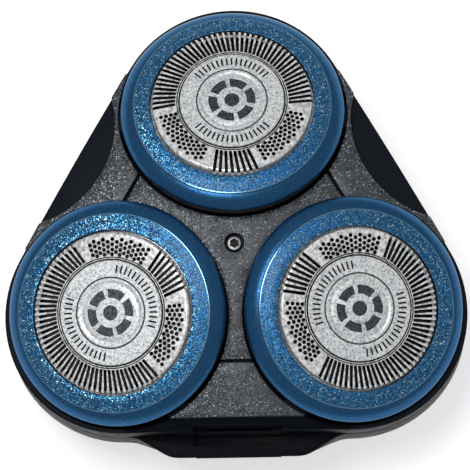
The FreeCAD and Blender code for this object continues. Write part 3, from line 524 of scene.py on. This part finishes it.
def make_finishes():
    """Every material by name."""
    chosen = bpy.context.scene.shaver_finishes
    side = tuple(chosen.ring_side)
    flake = tuple(chosen.ring_flake)
    panel = tuple(chosen.panel)
    housing = tuple(chosen.housing)
    made = {}

    glitter = Finish(
        "glitter_blue", side, metallic=0.8, roughness=0.33, Coat_Weight=0.2, Coat_Roughness=0.25)
    cells = glitter.cells(0.118)
    glitter.paint(
        glitter.one(cells), (0.0, (0.002, 0.034, 0.13)), (0.45, (0.008, 0.092, 0.245)),
        (0.76, (0.026, 0.175, 0.35)), (0.95, (0.12, 0.38, 0.54)), (1.0, flake))
    glitter.flake_normal(cells, 0.52)
    made["glitter_blue"] = glitter.material

    satin = Finish(
        "satin_blue", side, metallic=0.8, roughness=0.27, Specular_Tint=(0.62, 0.8, 0.95, 1))
    cells = satin.cells(0.12)
    satin.paint(
        satin.one(cells), (0.0, dull(side, 0.8)), (0.8, side), (0.98, dull(side, 1.25)),
        (1.0, dull(side, 2.0)))
    satin.flake_normal(cells, 0.06)
    made["satin_blue"] = satin.material

    crest = Finish("crest_blue", (0.13, 0.28, 0.42), metallic=0.9, roughness=0.14)
    crest.vary_roughness(0.5, 0.10, 0.20)
    made["crest_blue"] = crest.material

    # The side's blue at 8 percent of its brightness: painted shade in the thin groove below the crest.
    groove = Finish("groove_painted_shade", dull(side, 0.08), metallic=0.2, roughness=0.5)
    groove.vary_roughness(0.5, 0.45, 0.6)
    made["groove_painted_shade"] = groove.material

    guard = Finish("guard_steel", (0.70, 0.71, 0.72), metallic=0.4, roughness=0.26)
    guard.paint(
        guard.noise(0.5, detail=5, rough=0.7), (0.38, (0.34, 0.35, 0.36)), (0.58, (0.95, 0.96, 0.97)))
    guard.vary_roughness(0.6, 0.20, 0.36)
    guard.grain(0.12, 0.006)
    made["guard_steel"] = guard.material

    # Near-black steel: painted shade on the walls of the guards' slots and holes, in the grooves by the
    # disc, under the guards, and in the screw's socket.
    inside = Finish(
        "painted_shade_steel", (0.010, 0.011, 0.012), metallic=0.4, roughness=0.55, Specular_IOR_Level=0.2)
    inside.vary_roughness(0.3, 0.42, 0.6)
    inside.grain(0.08, 0.004)
    made["painted_shade_steel"] = inside.material

    disc = Finish("disc_steel", (0.83, 0.85, 0.86), metallic=0.45, roughness=0.42)
    disc.paint(
        disc.noise(0.34, detail=6, rough=0.78), (0.38, (0.22, 0.24, 0.26)), (0.45, (0.52, 0.54, 0.56)),
        (0.54, (0.78, 0.80, 0.81)), (0.64, (0.93, 0.94, 0.95)))
    disc.vary_roughness(0.8, 0.38, 0.54)
    disc.grain(0.12, 0.010)
    made["disc_steel"] = disc.material

    # Near-black: the ticks' dark engraving, and painted shade on the walls of the segments and the dot
    # and in the groove about the raised ring.
    engraved = Finish(
        "engraving_and_painted_shade", (0.008, 0.009, 0.011), metallic=0.2, roughness=0.5, Specular_IOR_Level=0.2)
    engraved.grain(0.08, 0.004)
    made["engraving_and_painted_shade"] = engraved.material

    inset = Finish("inset_grey", (0.11, 0.125, 0.14), metallic=0.7, roughness=0.42)
    inset.paint(
        inset.noise(0.3, detail=4, rough=0.7), (0.38, (0.014, 0.020, 0.026)),
        (0.62, (0.10, 0.115, 0.125)))
    inset.grain(0.10, 0.005)
    made["inset_grey"] = inset.material

    flecked = Finish(
        "flake_panel", panel, metallic=0.4, roughness=0.45, Coat_Weight=0.1, Coat_Roughness=0.3)
    cells = flecked.cells(0.14)
    flecked.paint(
        flecked.one(cells), (0.0, dull(panel, 0.05)), (0.3, dull(panel, 0.5)), (0.7, dull(panel, 0.95)),
        (0.92, dull(panel, 1.9)), (1.0, (0.50, 0.52, 0.56)))
    flecked.flake_normal(cells, 0.35)
    made["flake_panel"] = flecked.material

    shell = Finish("dark_shell", housing, roughness=0.45, Specular_IOR_Level=0.06)
    shell.vary_roughness(1.4, 0.38, 0.52)
    shell.grain(0.09, 0.006, detail=2)
    made["dark_shell"] = shell.material

    # Darker than the housing: the button's colour, and painted shade where it is put on the shell's
    # front middle.
    gloss = Finish("button_gloss", dull(housing, 0.45), roughness=0.40, Specular_IOR_Level=0.025)
    gloss.vary_roughness(2.0, 0.34, 0.46)
    made["button_gloss"] = gloss.material

    black = Finish("black_plastic", (0.010, 0.010, 0.012), roughness=0.5)
    black.vary_roughness(1.0, 0.45, 0.6)
    black.grain(0.10, 0.008)
    made["black_plastic"] = black.material

    hub = Finish("hub_plastic", (0.010, 0.011, 0.013), roughness=0.5, Specular_IOR_Level=0.3)
    hub.grain(0.12, 0.008)
    made["hub_plastic"] = hub.material

    acetal = Finish("white_acetal", (0.66, 0.645, 0.60), roughness=0.42, Subsurface_Weight=0.05)
    acetal.vary_roughness(0.9, 0.36, 0.5)
    acetal.grain(0.15, 0.004)
    made["white_acetal"] = acetal.material

    steels = (
        # The blades' steel is made nearly black: painted shade for where they lie under the guards.
        ("blade_steel", 0.035, 0.45),
        ("spring_steel", 0.5, 0.3),
        ("pin_steel", 0.6, 0.25),
        ("screw_steel", 0.13, 0.32),
    )
    for name, tone, rough in steels:
        steel = Finish(name, (tone, tone, tone * 1.02), metallic=1.0, roughness=rough)
        steel.vary_roughness(0.5, rough - 0.08, rough + 0.12)
        steel.grain(0.08, 0.003)
        made[name] = steel.material

    seal = Finish("seal_rubber", (0.014, 0.014, 0.014), roughness=0.7)
    seal.grain(0.12, 0.01)
    made["seal_rubber"] = seal.material
    return made


# The materials by name, once the first step has made them.
FINISHES = {}


class SHAVER_OT_finishes(bpy.types.Operator):
    """Make the materials and put them on every CAD node by its record slot"""

    bl_idname = "object.shaver_finishes"
    bl_label = "Finishes"

    def execute(self, context):
        FINISHES.update(make_finishes())
        for entry in frame["record"]["subparts"]:
            slot = entry["material_slot"]
            material = FINISHES["satin_blue" if slot == "blue_ring" else slot]
            node = NODES[entry["node"]]
            if not node.data.materials:
                node.data.materials.append(material)
            for index in range(len(node.material_slots)):
                node.material_slots[index].material = material
        return {"FINISHED"}


class SHAVER_OT_skin_rings(bpy.types.Operator):
    """Turn the coloured ring of a head, with its lugs and pivot pins, and copy it to the three heads"""

    bl_idname = "object.shaver_skin_rings"
    bl_label = "Skin rings"

    def execute(self, context):
        sizes = context.scene.shaver_rings
        crest = sizes.crest_radius / MM
        step = sizes.crest_step / MM
        edge = RING_TOP - RING_FALL * (crest - 0.08 - RING_INNER)
        section = [(11.1, 0.55), (11.1, 1.50), (11.16, 1.60), (RING_INNER, RING_TOP)]
        section += [(12.2, RING_TOP - RING_FALL * 0.92), (crest - 0.08, edge)]
        section += [(crest - 0.02, edge - 0.012), (crest + 0.04, edge - 0.030)]
        section += [(crest + 0.08, edge - 0.055)]
        section += [(crest + 0.10, edge - 0.055 - step), (crest + 0.14, edge - 0.08 - step)]
        section += arc((12.443, -2.024), 3.09, 66, 30, 8)
        section += [(15.19, -0.64), (15.2, -0.8), (15.16, -0.95), (14.84, -2.25), (14.72, -2.4)]
        section += [(14.28, -2.4), (14.2, -2.32), (14.2, -1.55), (14.8, -1.55), (14.8, -0.45)]
        section += [(14.2, -0.45), (14.2, -0.25), (13.5, 0.4), (11.15, 0.5)]
        ring = turned("skin_ring_start", section, hollow=True)

        def sloping(place, normal):
            return normal.z > 0.5 and place.xy.length < crest - 0.08 and place.z > 0.8

        def lip(place, normal):
            return abs(place.xy.length - crest + 0.01) < 0.07 and normal.z > 0.5

        # The thin groove below the crest, which gets painted shade.
        def groove(place, normal):
            return abs(place.xy.length - crest - 0.1) < 0.035 and place.z > 0.6

        # The ring's inner wall is black as painted shade in the gap round the guard; the side below z =
        # -0.85 is black.
        def gap_shade_and_lower_black(place, normal):
            return place.z < -0.85 or place.xy.length < 11.17 and place.z < 1.56

        dress(ring, "satin_blue", "glitter_blue", "crest_blue", "groove_painted_shade", "black_plastic")
        for index, chosen in enumerate((sloping, lip, groove, gap_shade_and_lower_black), 1):
            mark(ring, index, chosen)
        smooth(ring, 40)
        for name in HEADS:
            copy = duplicate(ring, f"ring_{name}")
            settle(copy, head_place(name))
            stand_in(copy, f"head_{name}", "blue_ring", f"skin_ring_{name}")
            add_pivots(name)
        bpy.data.objects.remove(ring)
        return {"FINISHED"}


def add_pivots(name):
    """The two lugs of a ring, each with its pivot pin."""
    sides = []
    for side in (-1, 1):
        lug = block("lug", (-1.5, 14.05, -4.6), (1.5, 14.65, -2.2), 0.12)
        pin = peg("pin", 0.6, 0, 0.98, 32, 0.1)
        across = Matrix.Rotation(-math.pi / 2, 4, "X")
        settle(pin, Matrix.Translation((0, 14.45 * MM, -4.0 * MM)) @ across)
        combine(lug, pin, "UNION")
        if side < 0:
            settle(lug, Matrix.Rotation(math.pi, 4, "Z"))
        sides.append(lug)
    pair = join(sides, f"ring_pivots_{name}")
    settle(pair, head_place(name))
    smooth(pair, 32)
    dress(pair, "satin_blue")
    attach(pair, f"head_{name}")


class SHAVER_OT_guards(bpy.types.Operator):
    """Turn a guard's cap, cut its slots and holes, and copy it to the three heads"""

    bl_idname = "object.shaver_guards"
    bl_label = "Guards"

    def execute(self, context):
        sizes = context.scene.shaver_guards
        section = [(7.06, 2.10), (7.08, 1.96), (7.26, 1.96), (7.28, 2.10), (7.38, 2.10), (7.40, 1.98)]
        section += [(7.52, 1.98), (7.54, 2.10), (9.0, 2.10)]
        section += arc((10.44, 1.74), 0.36, 90, 0, 6)
        section += [(10.8, 0.62), (10.84, 0.52), (10.95, 0.5), (12.95, 0.5), (13.0, 0.45), (13.0, 0.15)]
        section += [(10.45, 0.15), (10.45, 1.62), (10.35, 1.75), (7.0, 1.75)]
        cap = turned("guard_start", section)
        half = sizes.slot_width / MM / 2
        outer = around(slot_cutter(half), sizes.slot_count, LONG_RUN, -LONG_RUN / 2)
        inner = around(slot_cutter(half), SHORT_COUNT, SHORT_RUN, 180 - SHORT_RUN / 2)
        holes = [hole_cutters(middle) for middle in HOLE_MIDDLES]
        combine(cap, join([outer, inner, *holes], "openings"))
        clear_slivers(cap)
        smooth(cap, 35)
        dress(cap, "guard_steel", "painted_shade_steel")
        # The walls of the slots and holes, the grooves and the underside get painted shade.
        mark(cap, 1, painted_shade_faces)
        for name in HEADS:
            copy = duplicate(cap, f"shaver_guard_{name}")
            settle(copy, head_place(name))
            stand_in(copy, f"head_{name}", "guard_steel", f"guard_{name}")
        bpy.data.objects.remove(cap)
        return {"FINISHED"}


def painted_shade_faces(place, normal):
    """Painted shade: the walls of the slots and holes, the grooves by the disc, and the guard's
    underside, made near-black to stand in for the shade in them.
    """
    reach = place.xy.length
    outwards = abs(normal.xy.dot(place.xy)) / max(reach, 0.1)
    if 7.05 < reach < 7.55 and place.z < 2.09:
        return True
    if normal.z < -0.3 or 10.36 < reach < 10.46 and place.z < 1.7:
        return reach < 10.6
    return 7.5 < reach < 10.82 and abs(normal.z) < 0.5 and (reach < 10.2 or outwards < 0.6)


def slot_cutter(half):
    """A slanting slot from the track's inner edge out over the rounded rim."""
    slot = block("slot", (SLOT_IN, -half, 1.05), (SLOT_OUT, half, 2.6))
    edit(slot)
    bpy.ops.mesh.select_all(action="DESELECT")
    bpy.ops.object.mode_set(mode="OBJECT")
    for vertex in slot.data.vertices:
        vertex.select = vertex.co.x > 10 * MM
    bpy.ops.object.mode_set(mode="EDIT")
    bpy.ops.transform.translate(value=(0, SLOT_RUN * math.tan(math.radians(SLOT_LEAN)) * MM, 0))
    bpy.ops.object.mode_set(mode="OBJECT")
    return slot


def hole_cutters(middle):
    """Staggered columns of small round holes on both sides of a middle angle."""
    pegs = []
    step = HOLE_FIELD / (HOLE_COLUMNS - 1)
    for number in range(HOLE_COLUMNS):
        angle = middle - HOLE_FIELD / 2 + step * number
        turn = Matrix.Rotation(math.radians(angle), 4, "Z")
        for reach in SHORT_COLUMN if number % 2 else LONG_COLUMN:
            hole = peg("hole", HOLE_RADIUS, 1.5, 2.3, 12)
            settle(hole, turn @ Matrix.Translation((reach * MM, 0, 0)))
            pegs.append(hole)
    return join(pegs, "holes")


class SHAVER_OT_discs(bpy.types.Operator):
    """Turn a guard's middle disc, engrave its ticks and segments, and copy it to the three heads"""

    bl_idname = "object.shaver_discs"
    bl_label = "Middle discs"

    def execute(self, context):
        sizes = context.scene.shaver_guards
        section = [(7.05, 2.10), (7.05, 2.28), (6.95, 2.35), (6.88, 2.35), (4.86, 2.35), (4.83, 2.27)]
        section += [(4.70, 2.27), (4.66, 2.40), (4.58, 2.47), (4.46, 2.49), (4.30, 2.46), (4.14, 2.40)]
        section += [(4.02, 2.37), (3.9, 2.37), (3.8, 2.41), (0.6, 2.41)]
        disc = turned("disc_start", section)
        ticks = []
        for start in TICK_STARTS:
            tick = block("tick", (TICK_IN, -0.125, 2.28), (TICK_OUT, 0.125, 2.5))
            ticks.append(around(tick, sizes.tick_count, TICK_ARC, start))
        combine(disc, join(ticks, "ticks"))
        share = 360 / SEGMENTS
        segments = []
        for number in range(SEGMENTS):
            start = share * number + SEGMENT_GAP
            end = share * (number + 1) - SEGMENT_GAP
            segments.append(swept("segment", (2.0, 2.33), (3.2, 2.6), start, end, 12))
        combine(disc, join(segments, "segments"))
        combine(disc, peg("dimple", 1.02, 2.33, 2.6))
        clear_slivers(disc)
        dress(disc, "disc_steel", "engraving_and_painted_shade", "inset_grey")
        # The segment and dot walls and the groove get painted shade; the ticks are dark.
        mark(disc, 1, engraving_and_shaded_walls)
        mark(disc, 2, lambda place, normal: place.xy.length < 3.3 and place.z < 2.34 and normal.z > 0.9)
        smooth(disc)
        for name in HEADS:
            copy = duplicate(disc, f"middle_disc_{name}")
            settle(copy, head_place(name))
            stand_in(copy, f"head_{name}", "disc_steel", f"guard_centre_{name}")
        bpy.data.objects.remove(disc)
        return {"FINISHED"}


def engraving_and_shaded_walls(place, normal):
    """The dark ticks, and the walls of the segments and the dot and the groove about the raised ring,
    which are near-black as painted shade.
    """
    reach = place.xy.length
    if TICK_IN < reach < TICK_OUT:
        return place.z < 2.345
    if reach < 3.3:
        return place.z < 2.405 and normal.z < 0.5
    return 4.69 < reach < 4.855 and place.z < 2.34


class SHAVER_OT_cover(bpy.types.Operator):
    """Round the edges of the four cover panels"""

    bl_idname = "object.shaver_cover"
    bl_label = "Cover panels"

    def execute(self, context):
        for node in ("centre_panel", "front_panel", "left_panel", "right_panel"):
            panel = cad_copy(node, f"cover_{node}")
            rounded_edges(panel, 0.12)
            smooth(panel)
            dress(panel, "flake_panel")
            stand_in(panel, "holder", "flake_panel", node)
        return {"FINISHED"}


class SHAVER_OT_screw(bpy.types.Operator):
    """Turn the middle screw and cut its hexagonal socket"""

    bl_idname = "object.shaver_screw"
    bl_label = "Middle screw"

    def execute(self, context):
        low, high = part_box("centre_screw")
        foot, top = low[2] / MM, high[2] / MM
        section = [(0.44, foot), (0.5, foot + 0.1), (0.5, top - 0.65), (0.95, top - 0.65)]
        section += [(1.0, top - 0.58), (1.0, top - 0.1), (0.93, top - 0.02), (0.86, top)]
        screw = turned("screw_start", section, 96)
        combine(screw, turned("socket", [(0.68, top - 0.5), (0.68, top + 0.2)], 6))
        clear_slivers(screw)
        # The socket's floor and walls take the near-black steel as painted shade.
        dress(screw, "screw_steel", "painted_shade_steel")
        mark(screw, 1, lambda place, normal: place.xy.length < 0.67 and -0.52 < place.z - top < -0.03)
        smooth(screw)
        screw.name = "middle_screw"
        stand_in(screw, "holder", "screw_steel", "centre_screw")
        return {"FINISHED"}


class SHAVER_OT_springs(bpy.types.Operator):
    """Wind the spindles' coil springs and let them ride on the gears"""

    bl_idname = "object.shaver_springs"
    bl_label = "Springs"

    def execute(self, context):
        for name in HEADS:
            node = f"spindle_spring_{name}"
            low, high = (Vector(corner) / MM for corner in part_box(node))
            middle = (low + high) / 2
            length = high.z - low.z
            radius = (high.x - low.x) / 2 - COIL_WIRE
            coil = wound(f"spring_coil_{name}", radius, COIL_WIRE, length, COIL_TURNS)
            settle(coil, Matrix.Translation(middle * MM))
            dress(coil, "spring_steel")
            smooth(coil, 50)
            stand_in(coil, f"gear_{name}", "spring_steel", node)
            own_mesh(coil)
        return {"FINISHED"}


def wound(name, radius, wire, length, turns):
    """A coil of round wire about Z, in millimetres, with its middle at the origin."""
    bpy.ops.object.select_all(action="DESELECT")
    bpy.ops.mesh.primitive_circle_add(
        vertices=10, radius=wire * MM, fill_type="NOTHING", rotation=(math.pi / 2, 0, 0),
        location=(radius * MM, 0, (wire - length / 2) * MM))
    coil = bpy.context.object
    coil.name = name
    settle(coil)
    bpy.ops.object.modifier_add(type="SCREW")
    step = coil.modifiers[-1]
    step.steps = 32
    step.render_steps = 32
    step.iterations = turns
    step.screw_offset = (length - 2 * wire) / turns * MM
    bpy.ops.object.modifier_apply(modifier=step.name)
    bpy.ops.object.mode_set(mode="EDIT")
    bpy.ops.mesh.select_all(action="SELECT")
    bpy.ops.mesh.fill_holes(sides=0)
    bpy.ops.mesh.select_all(action="SELECT")
    bpy.ops.mesh.normals_make_consistent(inside=False)
    bpy.ops.object.mode_set(mode="OBJECT")
    return coil


class SHAVER_OT_housing(bpy.types.Operator):
    """Finish the holder, the base and the release button: draft, round roots and edges, colours, and
    painted shade on the shell's front middle
    """

    bl_idname = "object.shaver_housing"
    bl_label = "Housing"

    def execute(self, context):
        holder = cad_copy("holder_frame", "holder_housing")
        split(holder, HOLDER_FRONT)
        rounded_edges(holder, 0.15)
        finish_with_front_shade(holder, HOLDER_FRONT)
        stand_in(holder, "holder", "dark_shell", "holder_frame")
        base = cad_copy("base_shell", "base_housing")
        split(base, BASE_FRONT)
        round_bulge_roots(base)
        taper_bulge(base, BULGE_WALL)
        rounded_edges(base, 0.2, 3)
        finish_with_front_shade(base, BASE_FRONT)
        stand_in(base, "base", "dark_shell", "base_shell")
        button = cad_copy("release_button", "catch_button")
        taper_bulge(button, BUTTON_FRONT)
        rounded_edges(button, 0.35, 4)
        smooth(button)
        dress(button, "button_gloss")
        stand_in(button, "button", "button_gloss", "release_button")
        return {"FINISHED"}


def finish_with_front_shade(piece, depth):
    """Give a shell its finish, and its front middle the button's darker colour as painted shade."""
    smooth(piece)
    dress(piece, "dark_shell", "button_gloss")
    mark(piece, 1, lambda place, normal: place.y < depth and abs(place.x) < FRONT_REACH)


def round_bulge_roots(base):
    """Fill the two upright corners where the front bulge grows out of the wall."""
    edit(base)
    bpy.ops.mesh.select_all(action="DESELECT")
    bpy.ops.mesh.select_mode(type="EDGE")
    bpy.ops.object.mode_set(mode="OBJECT")
    found = 0
    for edge in base.data.edges:
        low, high = (base.data.vertices[index].co / MM for index in edge.vertices)
        upright = abs(low.z - high.z) > 1 and (low - high).xy.length < 0.01
        if upright and abs(abs(low.x) - BULGE_SIDE) < 0.1 and abs(low.y - BULGE_ROOT) < 0.1:
            edge.select = True
            found += 1
    if found < 2:
        raise RuntimeError("the bulge's roots weren't found")
    bpy.ops.object.mode_set(mode="EDIT")
    bpy.ops.mesh.bevel(offset=BULGE_FILLET * MM, segments=6, affect="EDGES")
    bpy.ops.object.mode_set(mode="OBJECT")


def split(piece, depth):
    """Part a piece's faces round its front middle, so that it can carry painted shade."""
    edit(piece)
    bpy.ops.mesh.select_all(action="SELECT")
    bpy.ops.mesh.bisect(plane_co=(0, depth * MM, 0), plane_no=(0, 1, 0))
    for reach in (-FRONT_REACH, FRONT_REACH):
        bpy.ops.mesh.select_mode(type="FACE")
        bpy.ops.mesh.select_all(action="DESELECT")
        bpy.ops.object.mode_set(mode="OBJECT")
        for face in piece.data.polygons:
            face.select = face.center.y < depth * MM
        bpy.ops.object.mode_set(mode="EDIT")
        bpy.ops.mesh.bisect(plane_co=(reach * MM, 0, 0), plane_no=(1, 0, 0))
    bpy.ops.object.mode_set(mode="OBJECT")


def taper_bulge(piece, limit):
    """Draw what is in front of the limit back towards its foot, as a moulded wall with draft leans."""
    proud = [vertex.co.z / MM for vertex in piece.data.vertices if vertex.co.y < limit * MM]
    for level in sorted({round(height, 1) for height in proud if height < BULGE_TOP - 0.1}):
        edit(piece)
        bpy.ops.mesh.select_mode(type="VERT")
        bpy.ops.mesh.select_all(action="DESELECT")
        bpy.ops.object.mode_set(mode="OBJECT")
        for vertex in piece.data.vertices:
            vertex.select = vertex.co.y < limit * MM and abs(vertex.co.z / MM - level) < 0.051
        bpy.ops.object.mode_set(mode="EDIT")
        share = 1 - BULGE_DRAFT * (BULGE_TOP - level)
        bpy.ops.transform.resize(value=(1, share, 1), center_override=(0, BULGE_WALL * MM, 0))
        bpy.ops.object.mode_set(mode="OBJECT")


def make_camera(stage):
    """A camera at the photograph's angle, aimed at the middle of the heads."""
    aim = Vector((0.106, 1.098, 27.05)) * MM
    turn = Euler((math.pi / 2 - stage.elevation, 0, stage.azimuth)).to_matrix().to_4x4()
    bpy.ops.object.camera_add()
    camera = bpy.context.object
    camera.name = "photo_camera"
    camera.data.sensor_width = 36
    camera.data.lens = stage.lens
    camera.data.clip_start = 0.01
    camera.data.clip_end = 20
    roll = Matrix.Rotation(stage.roll, 4, "Z")
    back = Matrix.Translation((0, 0, stage.distance))
    camera.matrix_world = Matrix.Translation(aim) @ turn @ roll @ back
    bpy.context.scene.camera = camera


def make_lamp(name, place, size, power):
    """A square lamp that faces the object."""
    bpy.ops.object.light_add(type="AREA", location=place)
    lamp = bpy.context.object
    lamp.name = name
    lamp.data.size = size
    lamp.data.energy = power
    towards = Vector((0, 0, 0.02)) - Vector(place)
    lamp.rotation_euler = towards.to_track_quat("-Z", "Y").to_euler()


def make_floor():
    """A wide pale floor that keeps the object's shadow and looks white to the camera."""
    bpy.ops.object.select_all(action="DESELECT")
    bpy.ops.mesh.primitive_plane_add(size=6, location=(0, 0, -0.0001))
    floor = bpy.context.object
    floor.name = "studio_floor"
    material = bpy.data.materials.new("studio_floor")
    material.use_nodes = True
    tree = material.node_tree
    shader = tree.nodes["Principled BSDF"]
    shader.inputs["Base Color"].default_value = (0.9, 0.9, 0.9, 1)
    shader.inputs["Roughness"].default_value = 0.8
    shader.inputs["Specular IOR Level"].default_value = 0.1
    paths = tree.nodes.new("ShaderNodeLightPath")
    seen = None
    for name in ("Is Camera Ray", "Is Glossy Ray", "Is Transmission Ray"):
        if seen is None:
            seen = paths.outputs[name]
            continue
        either = tree.nodes.new("ShaderNodeMath")
        either.operation = "MAXIMUM"
        tree.links.new(seen, either.inputs[0])
        tree.links.new(paths.outputs[name], either.inputs[1])
        seen = either.outputs[0]
    lift = tree.nodes.new("ShaderNodeMath")
    lift.operation = "MULTIPLY"
    lift.inputs[1].default_value = 0.5
    tree.links.new(seen, lift.inputs[0])
    shader.inputs["Emission Color"].default_value = (1, 1, 1, 1)
    tree.links.new(lift.outputs[0], shader.inputs["Emission Strength"])
    floor.data.materials.append(material)


class SHAVER_OT_stage(bpy.types.Operator):
    """Set up the floor, the surround, the lamps and the camera"""

    bl_idname = "object.shaver_stage"
    bl_label = "Stage"

    def execute(self, context):
        stage = context.scene.shaver_stage
        make_floor()
        world = bpy.data.worlds.new("studio_surround")
        context.scene.world = world
        world.use_nodes = True
        background = world.node_tree.nodes["Background"]
        background.inputs["Color"].default_value = (1, 1, 1, 1)
        background.inputs["Strength"].default_value = stage.world_level
        make_lamp("key_lamp", place=(-0.07, 0.04, 0.45), size=0.16, power=stage.key_power)
        make_camera(stage)
        context.scene.view_settings.view_transform = "Standard"
        return {"FINISHED"}


STEPS_IN_ORDER = (
    SHAVER_OT_finishes,
    SHAVER_OT_skin_rings,
    SHAVER_OT_guards,
    SHAVER_OT_discs,
    SHAVER_OT_cover,
    SHAVER_OT_screw,
    SHAVER_OT_springs,
    SHAVER_OT_housing,
    SHAVER_OT_stage,
)


class SHAVER_PT_panel(bpy.types.Panel):
    """Lists the steps that build the shaver head"""

    bl_idname = "SHAVER_PT_panel"
    bl_label = "Rotary Shaver Head"
    bl_space_type = "VIEW_3D"
    bl_region_type = "UI"
    bl_category = "Shaver Head"

    def draw(self, context):
        for step in STEPS_IN_ORDER:
            self.layout.operator(step.bl_idname)


GROUPS = {
    "shaver_rings": RingSizes,
    "shaver_guards": GuardSizes,
    "shaver_finishes": Finishes,
    "shaver_stage": StageSizes,
}


def register():
    for name, group in GROUPS.items():
        bpy.utils.register_class(group)
        setattr(bpy.types.Scene, name, PointerProperty(type=group))
    for step in STEPS_IN_ORDER:
        bpy.utils.register_class(step)
    bpy.utils.register_class(SHAVER_PT_panel)


def unregister():
    bpy.utils.unregister_class(SHAVER_PT_panel)
    for step in reversed(STEPS_IN_ORDER):
        bpy.utils.unregister_class(step)
    for name, group in reversed(GROUPS.items()):
        delattr(bpy.types.Scene, name)
        bpy.utils.unregister_class(group)


def main():
    register()
    bpy.ops.object.shaver_finishes()
    bpy.ops.object.shaver_skin_rings()
    bpy.ops.object.shaver_guards()
    bpy.ops.object.shaver_discs()
    bpy.ops.object.shaver_cover()
    bpy.ops.object.shaver_screw()
    bpy.ops.object.shaver_springs()
    bpy.ops.object.shaver_housing()
    bpy.ops.object.shaver_stage()


if __name__ == "__main__":
    main()
